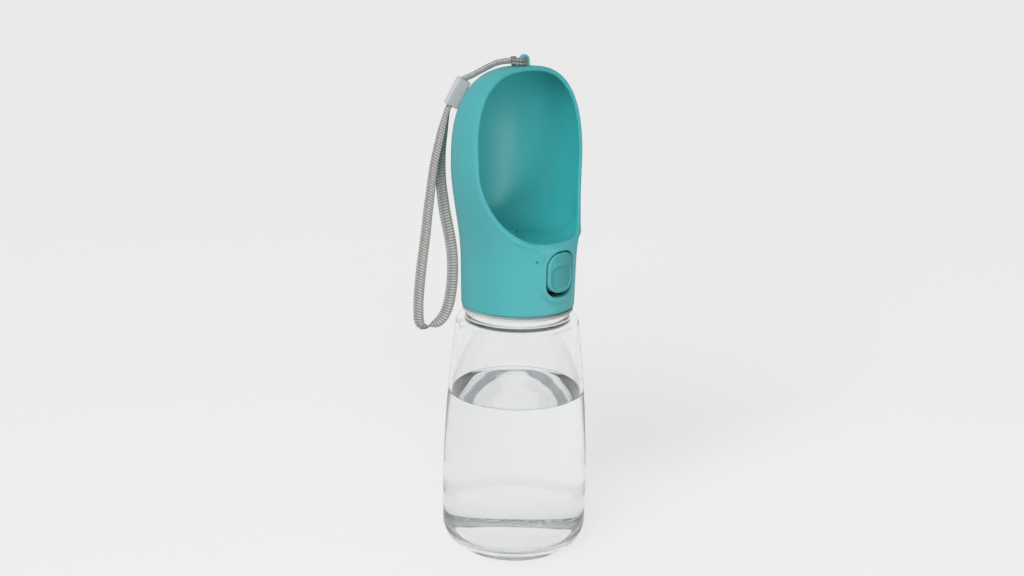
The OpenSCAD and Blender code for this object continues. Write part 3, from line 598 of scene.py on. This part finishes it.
# The soft crest that follows the rim: width and place, height, and where it grows to full.
crest_w, crest_in, crest_turn, crest_h, crest_more = 0.9, 1.2, 4, 0.15, 0.85
crest_z, crest_z_run, crest_y, crest_y_run = 155, 8, -18, 5
boss_x, boss_y, boss_r, boss_low, boss_high = 16, -15.1, 2.6, 158.4, 166
spout_y, spout_r, spout_bore, spout_low, spout_z = 7, 4, 2.5, 162.8, 168.4
eye_z, eye_r, lug_y, lug_r, lug_half_t, lug_low = 252.8, 1.7, -1.2, 3.3, 1.1, 249


def meet(a, b, r):
    """Distance to what two solids share, its edge rounded to radius r: the length of what
    both distances exceed -r by, less r."""
    return np.minimum(np.maximum(a, b), -r) + np.hypot(np.maximum(a + r, 0), np.maximum(b + r, 0))


def unite(a, b, r):
    """Distance to two solids as one, with a fillet of radius r between them."""
    return -meet(-a, -b, r)


def ease(t):
    """From 0 to 1 as t goes from 0 to 1, level at both ends."""
    t = np.clip(t, 0, 1)
    return t * t * (3 - 2 * t)


def dome(x, y, z, thin):
    """Rough distance to the head's outside, or `thin` further in. Each level is a
    superellipse that flares from the round collar to the wide bowl; above the widest level
    its size falls as a superellipse of the height."""
    grow = ease((z - flare_z) / (wide_z - flare_z))
    base = collar_r + (front_r - collar_r) * np.clip((z - collar_z) / (flare_z - collar_z), 0, 1)
    wide = base + (head_half_w - base) * grow - thin
    deep = base + (head_half_d + front_swell * (y < 0) - base) * grow - thin
    tall = head_top - wide_z - thin
    px, py, rise = np.abs(x) / wide, np.abs(y) / deep, np.maximum(z - wide_z, 0) / tall
    flat = np.maximum((px**section_power + py**section_power) ** (1 / section_power), 1e-3)
    full = (flat**dome_power + rise**dome_power) ** (1 / dome_power)
    q = section_power - 1
    side = np.hypot((px / flat) ** q / wide, (py / flat) ** q / deep)
    q = dome_power - 1
    slope = np.hypot((flat / full) ** q * side, (rise / full) ** q / tall)
    return (full - 1) / np.maximum(slope, 0.01)


# How far before the axis the rim lies at each level: an elliptic sweep below, and above
# it a straight line that leans back to the top.
rim_levels = np.linspace(lip_z, 300, 528)
sweep = np.arcsin(np.clip((sweep_z - rim_levels) / rim_sweep_h, 0, 1))
rim_lean = (rim_mid - rim_top) * (rim_levels - sweep_z) / (head_top - sweep_z)
rim_reach = np.where(rim_levels < sweep_z, rim_mid + rim_sweep_d * (1 - np.cos(sweep)),
                     np.maximum(rim_mid - rim_lean, rim_top))
rim_slope = np.hypot(1, np.gradient(rim_reach, rim_levels))


def outline_box(x, z, half_w, half_h, corner):
    """Distance to a plane outline with rounded corners."""
    qx, qz = np.abs(x) - half_w + corner, np.abs(z) - half_h + corner
    outer = np.hypot(np.maximum(qx, 0), np.maximum(qz, 0))
    return outer + np.minimum(np.maximum(qx, qz), 0) - corner


def head_field(x, y, z):
    """Distance to the head shell, negative inside it: the dome cut off before the rim and
    below the collar, hollowed by the bowl and the valve room, cut through at the key's
    window, with bosses for the guide's screws, a spout and the strap's eye joined on."""
    r = np.hypot(x, y)
    window = outline_box(x, z - window_z, window_half_w, window_half_h, window_corner)
    before = (-y - np.interp(z, rim_levels, rim_reach)) / np.interp(z, rim_levels, rim_slope)
    kept = unite(before, z - lip_z, 2.5)
    pad_low, pad_half_h = window_z - window_half_h - pad_rim, 60
    pad = outline_box(x, z - pad_low - pad_half_h, window_half_w + pad_rim, pad_half_h,
                      window_corner + pad_rim)
    pad = np.maximum(pad, y - pad_back_y)
    fade = ease((z - crest_z) / crest_z_run)
    crest = unite(-kept - crest_in, pad, crest_turn)
    raised = crest_h + crest_more * fade * ease((crest_y - y) / crest_y_run)
    raised = raised * np.exp(-(crest / crest_w) ** 2) * np.maximum(fade, kept > -3)
    lift = pad_lift * ease(0.5 - pad / pad_edge)
    outer = meet(dome(x, y, z, 0) - raised - lift, collar_z - z, 0.6)
    outer = meet(outer, kept, edge_r + (lip_r - edge_r) * ease((lip_y - y) / lip_run))
    bowl = meet(dome(x, y, z, head_wall), bowl_floor_z - z,
                cove_r + cove_more * ease((y - cove_y) / cove_run))
    shell = meet(outer, -bowl, 0.6)
    room = np.minimum(np.maximum(r - room_r, z - room_top_z),
                      np.maximum(r - deck_bore_r, z - deck_top_z))
    shell = meet(shell, -room, 0.4)
    shell = meet(shell, -np.maximum(window, y - window_back_y), 0.4)
    boss = np.hypot(np.abs(x) - boss_x, y - boss_y) - boss_r
    shell = unite(shell, np.maximum(np.maximum(boss, boss_low - z), z - boss_high), 0.5)
    spout = np.hypot(x, y - spout_y)
    stub = np.maximum(np.maximum(spout - spout_r, spout_low - z), z - spout_z)
    shell = meet(unite(shell, stub, 0.5), -np.maximum(spout - spout_bore, z - 185), 0.4)
    eye = np.hypot(x, z - eye_z)
    lug = meet(np.where(z < eye_z, np.abs(x), eye) - lug_r, np.abs(y - lug_y) - lug_half_t, 0.7)
    return unite(shell, np.maximum(meet(lug, eye_r - eye, 0.5), lug_low - z), 0.9)


def skin_of(field, axes):
    """The surface where a field is 0, as points and four-sided faces. Each grid cell with
    the field's both signs at its corners gets one point, the middle of the crossings on its
    edges; each grid edge that the surface crosses joins the four cells round it. Points
    then move to the middle of their neighbours and back along the field's gradient."""
    value = field(*np.meshgrid(*axes, indexing="ij", sparse=True))
    inside = value < 0
    shape = np.array(value.shape) - 1
    part = [slice(0, -1), slice(1, None)]
    corner = [(i, j, k) for i in (0, 1) for j in (0, 1) for k in (0, 1)]
    count = sum(inside[part[i], part[j], part[k]].astype(np.int8) for i, j, k in corner)
    cells = np.argwhere((count > 0) & (count < 8))
    index = np.full(shape, -1)
    index[tuple(cells.T)] = np.arange(len(cells))
    total, hits = np.zeros((len(cells), 3)), np.zeros(len(cells))
    for axis in range(3):
        for first in corner:
            if first[axis]:
                continue
            a = cells + first
            b = a.copy()
            b[:, axis] += 1
            va, vb = value[tuple(a.T)], value[tuple(b.T)]
            cross = (va < 0) != (vb < 0)
            t = np.where(cross, va / np.where(cross, va - vb, 1), 0)
            pa = np.stack([axes[d][a[:, d]] for d in range(3)], 1)
            pb = np.stack([axes[d][b[:, d]] for d in range(3)], 1)
            total += cross[:, None] * (pa + (pb - pa) * t[:, None])
            hits += cross
    points = total / hits[:, None]
    faces = []
    for axis in range(3):
        low = [slice(None)] * 3
        high = [slice(None)] * 3
        low[axis], high[axis] = slice(0, -1), slice(1, None)
        differ = inside[tuple(low)] != inside[tuple(high)]
        b, c = (axis + 1) % 3, (axis + 2) % 3
        edge = np.argwhere(differ)
        edge = edge[(edge[:, b] > 0) & (edge[:, c] > 0)
                    & (edge[:, b] < shape[b]) & (edge[:, c] < shape[c])]
        quad = []
        for db, dc in ((1, 1), (0, 1), (0, 0), (1, 0)):
            cell = edge.copy()
            cell[:, b] -= db
            cell[:, c] -= dc
            quad.append(index[tuple(cell.T)])
        quad = np.stack(quad, 1)
        outward = inside[tuple(edge.T)]
        faces.append(np.where(outward[:, None], quad, quad[:, ::-1]))
    faces = np.vstack(faces)
    probe, rounds = 0.02, 3
    ring = np.vstack([faces[:, [k, (k + 1) % 4]] for k in range(4)])
    degree = np.bincount(ring.ravel(), minlength=len(points))[:, None]
    for k in range(rounds + 2):
        if k < rounds:
            around = np.zeros_like(points)
            for d in range(3):
                around[:, d] = (np.bincount(ring[:, 0], points[ring[:, 1], d], len(points))
                                + np.bincount(ring[:, 1], points[ring[:, 0], d], len(points)))
            points = 0.4 * points + 0.6 * around / degree
        slope = np.stack([(field(*(points + step).T) - field(*(points - step).T)) / (2 * probe)
                          for step in probe * np.eye(3)], 1)
        fall = field(*points.T) / np.maximum((slope**2).sum(1), 0.2)
        points = points - slope * np.clip(fall, -0.5, 0.5)[:, None]
    return points, faces


def stretch(*parts):
    """Grid lines along one axis: each part is (start, end, spacing)."""
    return np.unique(np.concatenate([np.linspace(a, b, max(2, round((b - a) / s) + 1))
                                     for a, b, s in parts]).round(6))


def skin_piece(name, field, axes, body):
    """The surface where a field is 0, as a piece that rides on a body."""
    points, faces = skin_of(field, axes)
    return make_piece(name, points, faces.ravel(), 4 * np.arange(len(faces)), body)


coarse = 1
head = skin_piece("head_shell_satin", head_field, (
    stretch((-39.5, -12, 0.85 * coarse), (-12, 12, 0.55 * coarse), (12, 39.5, 0.85 * coarse)),
    stretch((-32, -3, 0.8 * coarse), (-3, 1, 0.5 * coarse), (1, 31, 0.9 * coarse)),
    stretch((128.5, 137, 0.85 * coarse), (137, 171, 0.6 * coarse), (171, 247.6, 0.85 * coarse),
            (247.6, 257.4, 0.45 * coarse))), "head")
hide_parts("head_shell")

# The attribute bowl is 1 on the bowl's inner wall and floor, and 0 elsewhere: it places the bowl's
# painted shade.
skin = np.empty(3 * len(head.data.vertices))
head.data.vertices.foreach_get("co", skin)
skin = skin.reshape(-1, 3).T / mm
bowl_shade_mask = (1 - ease(dome(*skin, head_wall) - 0.5)) * (skin[2] > bowl_floor_z - 0.5)
head.data.attributes.new("bowl", "FLOAT", "POINT").data.foreach_set("value", bowl_shade_mask)

outside_teal, bowl_shade_teal = (0.066, 0.352, 0.368), (0.042, 0.362, 0.374)
outside_light, bowl_light = (0.078, 0.392, 0.408), (0.050, 0.395, 0.407)
# The dark spot at the gate is painted shade of a dimple that the shell does not have.
gate_at, gate_shade_colour = (-13.7, -25.8, 159.2), (0.01, 0.10, 0.12)


def teal(name, painted_light=1.0):
    """Satin moulded plastic: a fine spark-eroded grain, a faint drift of tone and the dark
    dimple of the moulding's gate, whose darkness is painted shade of the dimple. The bowl, where
    the attribute of that name is 1, is smoother, and painted a deeper, less red teal than the
    outside: painted shade for the light that bounces teal on teal in its hollow. A second
    argument above 1 paints the whole teal lighter: painted light."""
    plastic = Finish(name)
    drift = plastic.noise(28, 2)
    speck = plastic.noise(2600, 2)
    tone = drift * 0.6 + speck * 0.25 + 0.08
    bowl = plastic.add("ShaderNodeAttribute", {"attribute_name": "bowl"}, output="Fac")
    outer = plastic.mix(tone, *(tuple(painted_light * c for c in colour)
                                for colour in (outside_teal, outside_light)))
    inner = plastic.mix(tone, bowl_shade_teal, bowl_light)
    gate = plastic.add("ShaderNodeVectorMath", {"operation": "DISTANCE"},
                       {0: plastic.place(), 1: tuple(mm * c for c in gate_at)}, "Value")
    dimple = plastic.add("ShaderNodeMapRange", None,
                         {0: gate, 1: 0.5 * mm, 2: 1.1 * mm, 3: 0.75, 4: 0.0})
    plastic.set(base_color=plastic.mix(dimple, plastic.mix(bowl, outer, inner), gate_shade_colour))
    grain = plastic.noise(5200, 3)
    plastic.set(normal=plastic.bump(grain, 0.2, 0.00008), specular_ior_level=0.3,
                roughness=0.42 + speck * 0.12 - bowl * 0.06)
    return plastic


teal("teal_satin").on(head)

# Key: a teal push button, 17 mm wide, with a bulged face. A ledge for the thumb crosses its
# upper part over a shallow pad. It is open behind, round the socket of its plunger.
key_z, key_half_w, key_half_h, key_corner = 152.55, 8.4, 9.95, 6.6
key_front, key_back, crown_r, key_wall = -30.6, -24.1, 27, 1.5
key_pad_half_w, key_pad_half_h, key_pad_corner, key_pad_z, key_pad_deep = 6.9, 5.75, 4.4, -2.45, 0.6
brow_z, brow_w, brow_h = 4.2, 0.7, 0.3
pocket_deep, socket_deep, socket_r, socket_bore = 2.1, 3.1, 5.3, 4.02


def key_field(x, y, z):
    """Distance to the key: a rounded outline cut by the bulged face, with the pad sunk in
    that face under its ledge, and behind a pocket with the socket standing in it."""
    up = z - key_z
    outline = outline_box(x, up, key_half_w, key_half_h, key_corner)
    pad = outline_box(x, up - key_pad_z, key_pad_half_w, key_pad_half_h, key_pad_corner)
    sunk = key_pad_deep * (1 - ease((pad + 0.5) / 0.8))
    brow = brow_h * np.exp(-((up - brow_z) / brow_w) ** 2) * ease((6.2 - np.abs(x)) / 2)
    face = np.hypot(x, y - key_front - crown_r) - crown_r + sunk - brow
    body = meet(meet(outline, face, 0.7), y - key_back, 0.3)
    socket = np.hypot(x, up)
    pocket = np.maximum(outline + key_wall, key_front + pocket_deep - y)
    body = meet(body, -np.maximum(pocket, socket_r - socket), 0.3)
    return meet(body, -np.maximum(socket - socket_bore, key_front + socket_deep - y), 0.2)


fine = 0.3 * coarse
key = skin_piece("key_button", key_field, (
    stretch((-9.3, 9.3, fine)), stretch((-31.9, -23.3, fine)),
    stretch((key_z - 10.8, key_z + 10.8, fine))), "key")
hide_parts("key_cap")
# The key's teal is painted 1.2 times as light as the head's: painted light on its front face.
teal("teal_key_satin", 1.2).on(key)

# Works inside the head: gaskets, sleeve, valve and the frame that guides the key, kept from
# the exact model. Each is moulded in its own plastic or rubber, or drawn in steel, and they
# are stacked, screwed or clipped into the valve room. The key's guide frame and the lock's
# carrier are painted near black teal instead: painted shade for the gap below the key.


def moulded(name, colour, rough=0.42, grain=900, depth=0.00005, **more):
    """Moulded plastic or rubber with a faint mottle and a fine grain."""
    stuff = Finish(name, specular_ior_level=0.4, **more)
    mottle = stuff.noise(grain, 2)
    stuff.set(base_color=stuff.mix(mottle, tuple(0.84 * c for c in colour), colour),
              roughness=rough + mottle * 0.12,
              normal=stuff.bump(stuff.noise(5 * grain, 2), 0.3, depth))
    return stuff


def drawn(name, colour, rough, along):
    """Bright steel with fine lines, `along` how many to the metre on each axis."""
    steel = Finish(name, metallic=1.0)
    stretched = steel.add("ShaderNodeVectorMath", {"operation": "MULTIPLY"},
                          {0: steel.place(), 1: along})
    lines = steel.add("ShaderNodeTexNoise", None,
                      {"Vector": stretched, "Scale": 1.0, "Detail": 3.0})
    steel.set(base_color=steel.mix(lines, tuple(0.7 * c for c in colour), colour),
              roughness=rough + lines * 0.15, normal=steel.bump(lines, 0.3, 0.00002))
    return steel


works = {
    # Painted shade: the guide frame and the lock carrier are dark so that the gap below the key
    # looks dark.
    moulded("frame_painted_shade", (0.008, 0.045, 0.070)): ("key_guide", "lock_carrier"),
    moulded("pale_acetal", (0.60, 0.63, 0.63)): ("thread_sleeve", "valve_body", "barrel_cap"),
    moulded("white_acetal", (0.78, 0.78, 0.76), 0.35): (
        "stem_bush", "key_plunger", "valve_stem", "valve_seat"),
    moulded("milky_silicone", (0.74, 0.75, 0.74), 0.5, 400, 0.00008, subsurface_weight=0.3,
            subsurface_radius=(0.002, 0.002, 0.002)): ("mouth_gasket", "outlet_gasket"),
    moulded("grey_silicone", (0.30, 0.31, 0.32), 0.55, 500): ("valve_plug",),
    moulded("black_rubber", (0.022, 0.022, 0.024), 0.6, 1500, 0.0001): ("stem_o_ring",),
    drawn("screw_steel", (0.62, 0.61, 0.59), 0.25, (3000, 3000, 300)): ("guide_screws",),
    drawn("washer_steel", (0.66, 0.65, 0.62), 0.22, (3000, 400, 3000)): ("stem_washer",),
}
for stuff, names in works.items():
    stuff.on(*(bpy.data.objects[name] for name in names))

# Return spring: four open turns of drawn steel wire, loose between the washer on the valve's
# stem and the barrel's cap, drawn at rest. A press of the key would shorten it towards the cap.
coil_r, wire_r, coil_turns, valve_z = 4.0, 0.3, 4, 151.75
spring_start, spring_end, stroke = 15.65, 22.05, 3.0
around_coil = np.linspace(0, 2 * np.pi * coil_turns, 24 * coil_turns + 1)
coil_out = np.stack([np.cos(around_coil), 0 * around_coil, -np.sin(around_coil)], -1)
coil_along = np.zeros_like(coil_out) + [0, 1, 0]
coil = coil_out * coil_r + [0, 0, valve_z]
coil[:, 1] = np.linspace(spring_start + wire_r, spring_end - wire_r, len(coil))
spring = ring_mesh("return_spring", pipe(coil, coil_along, coil_out, wire_r, wire_r, sides=12),
                   "head")
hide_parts("valve_spring")
drawn("spring_steel", (0.52, 0.52, 0.51), 0.2, (900, 900, 900)).on(spring)
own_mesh(spring)

# Floor and room: one plain pale sheet in a pale room. The key light comes from the left,
# above and before the bottle, with a weaker round one for the front. A small soft box low
# before the bowl draws the streak on its wall.
near_edge, far_edge = -6, 9
sheet = bpy.data.meshes.new("floor")
sheet.from_pydata([(near_edge, near_edge, 0), (far_edge, near_edge, 0), (far_edge, far_edge, 0),
                   (near_edge, far_edge, 0)], [], [(0, 1, 2, 3)])
floor = bpy.data.objects.new("floor", sheet)
scene.collection.objects.link(floor)
paper_white, ambient, floor_lift, floor_tone = 0.83, 0.36, 0.40, 0.58
looking = ("Is Camera Ray", "Is Glossy Ray", "Is Transmission Ray")
pale = Finish("pale_floor", base_color=(floor_tone,) * 3, roughness=0.9, specular_ior_level=0.1,
              emission_strength=floor_lift)
pale.set(emission_color=pale.mix(seen(pale.tree, *looking), (0, 0, 0), (1, 1, 1)))
pale.on(floor)

# The room's grey flags, high up and at both sides, give the clear wall its dark edges.
room = bpy.data.worlds.new("room")
scene.world = room
room.use_nodes = True
air = room.node_tree
way = Finish.add_to(air, "ShaderNodeTexCoord", output="Generated")
aside = Finish.add_to(air, "ShaderNodeVectorMath", {"operation": "DOT_PRODUCT"},
                      {0: way, 1: tuple(level)}, "Value")
skywards = Finish.add_to(air, "ShaderNodeSeparateXYZ", None, {0: way}, 2)


def flag(towards, begins, full, grey):
    """How much a flag takes away: nothing up to one cosine, all of its grey from another."""
    return Finish.add_to(air, "ShaderNodeMapRange", None,
                         {0: towards, 1: begins, 2: full, 3: 0.0, 4: grey})


sides = flag(-1 * aside, 0.80, 0.93, 0.45) + flag(aside, 0.78, 0.90, 0.85)
flags = sides.maths("MAXIMUM", flag(skywards, 0.25, 0.65, 0.28), sides)
paper = (1 - flags * (1 - seen(air, "Is Camera Ray"))) * paper_white
around = (1 - aside * 0.6) * ambient
light = seen(air, *looking) * (paper - around) + around
backdrop = air.nodes["Background"]
backdrop.inputs["Color"].default_value = (1, 1, 1, 1)
air.links.new(light.socket, backdrop.inputs["Strength"])


def aimed(name, kind, turn, rise, reach):
    """A lamp `turn` degrees left of the bowl's front and `rise` above the head's middle,
    which faces it from `reach` away."""
    lamp = bpy.data.lights.new(name, kind)
    box = bpy.data.objects.new(name, lamp)
    scene.collection.objects.link(box)
    turn, rise = radians(turn), radians(rise)
    out = Vector((-sin(turn) * cos(rise), -cos(turn) * cos(rise), sin(rise)))
    box.matrix_world = Matrix.Translation(Vector((0, 0, 0.17)) + out * reach) @ (
        out.to_track_quat("Z", "Y").to_matrix().to_4x4())
    box.visible_camera = box.visible_transmission = False
    return box


sun = aimed("key_light", "SUN", 72, 32, 3)
sun.data.energy, sun.data.angle = 2.08, radians(36)
sun.visible_glossy = False
fill = aimed("front_fill", "AREA", 40, 30, 1.1)
fill.data.shape, fill.data.size, fill.data.energy = "DISK", 0.4, 2.1
fill.visible_glossy = False
strip = aimed("bowl_light", "AREA", -14, -9, 0.8)
strip.data.shape, strip.data.size, strip.data.size_y, strip.data.energy = "RECTANGLE", 0.2, 0.24, 3.2
shone_on = bpy.data.collections.new("shone_on")
shone_on.objects.link(head)
strip.light_linking.receiver_collection = shone_on
